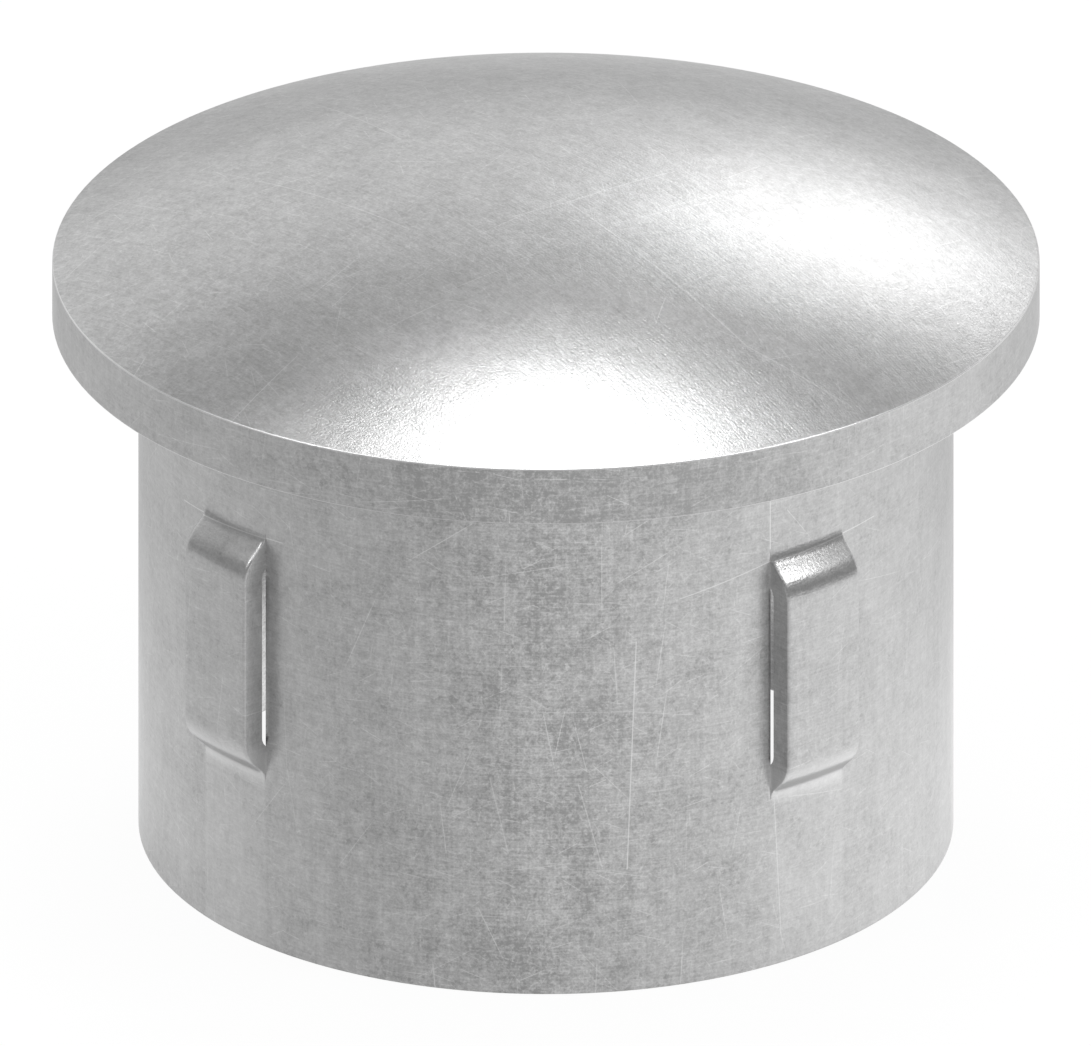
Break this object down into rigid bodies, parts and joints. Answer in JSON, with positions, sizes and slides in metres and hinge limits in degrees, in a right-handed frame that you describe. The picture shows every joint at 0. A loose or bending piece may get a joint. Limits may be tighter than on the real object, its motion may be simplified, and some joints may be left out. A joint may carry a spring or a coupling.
{
  "type": "steel tube end cap",
  "caption": "Domed round end cap with a thin open spigot and spring lugs, knocked into the open end of a round steel tube to close it.",
  "frame": {"origin": "centre of the seat, the flat ring under the head that lands on the tube's end", "axes": "+Z along the cap's axis from the open mouth of the spigot towards the crown; lugs on +X, +Y, -X and -Y"},
  "size_m": [0.0424, 0.0424, 0.0308],
  "materials": {
    "zinc_coated_steel": "dull zinc coating over drawn steel, finely speckled, with faint streaks along the axis and thin scratches"
  },
  "bodies": {
    "root": {"end_cap": "zinc_coated_steel"}
  },
  "joints": []
}
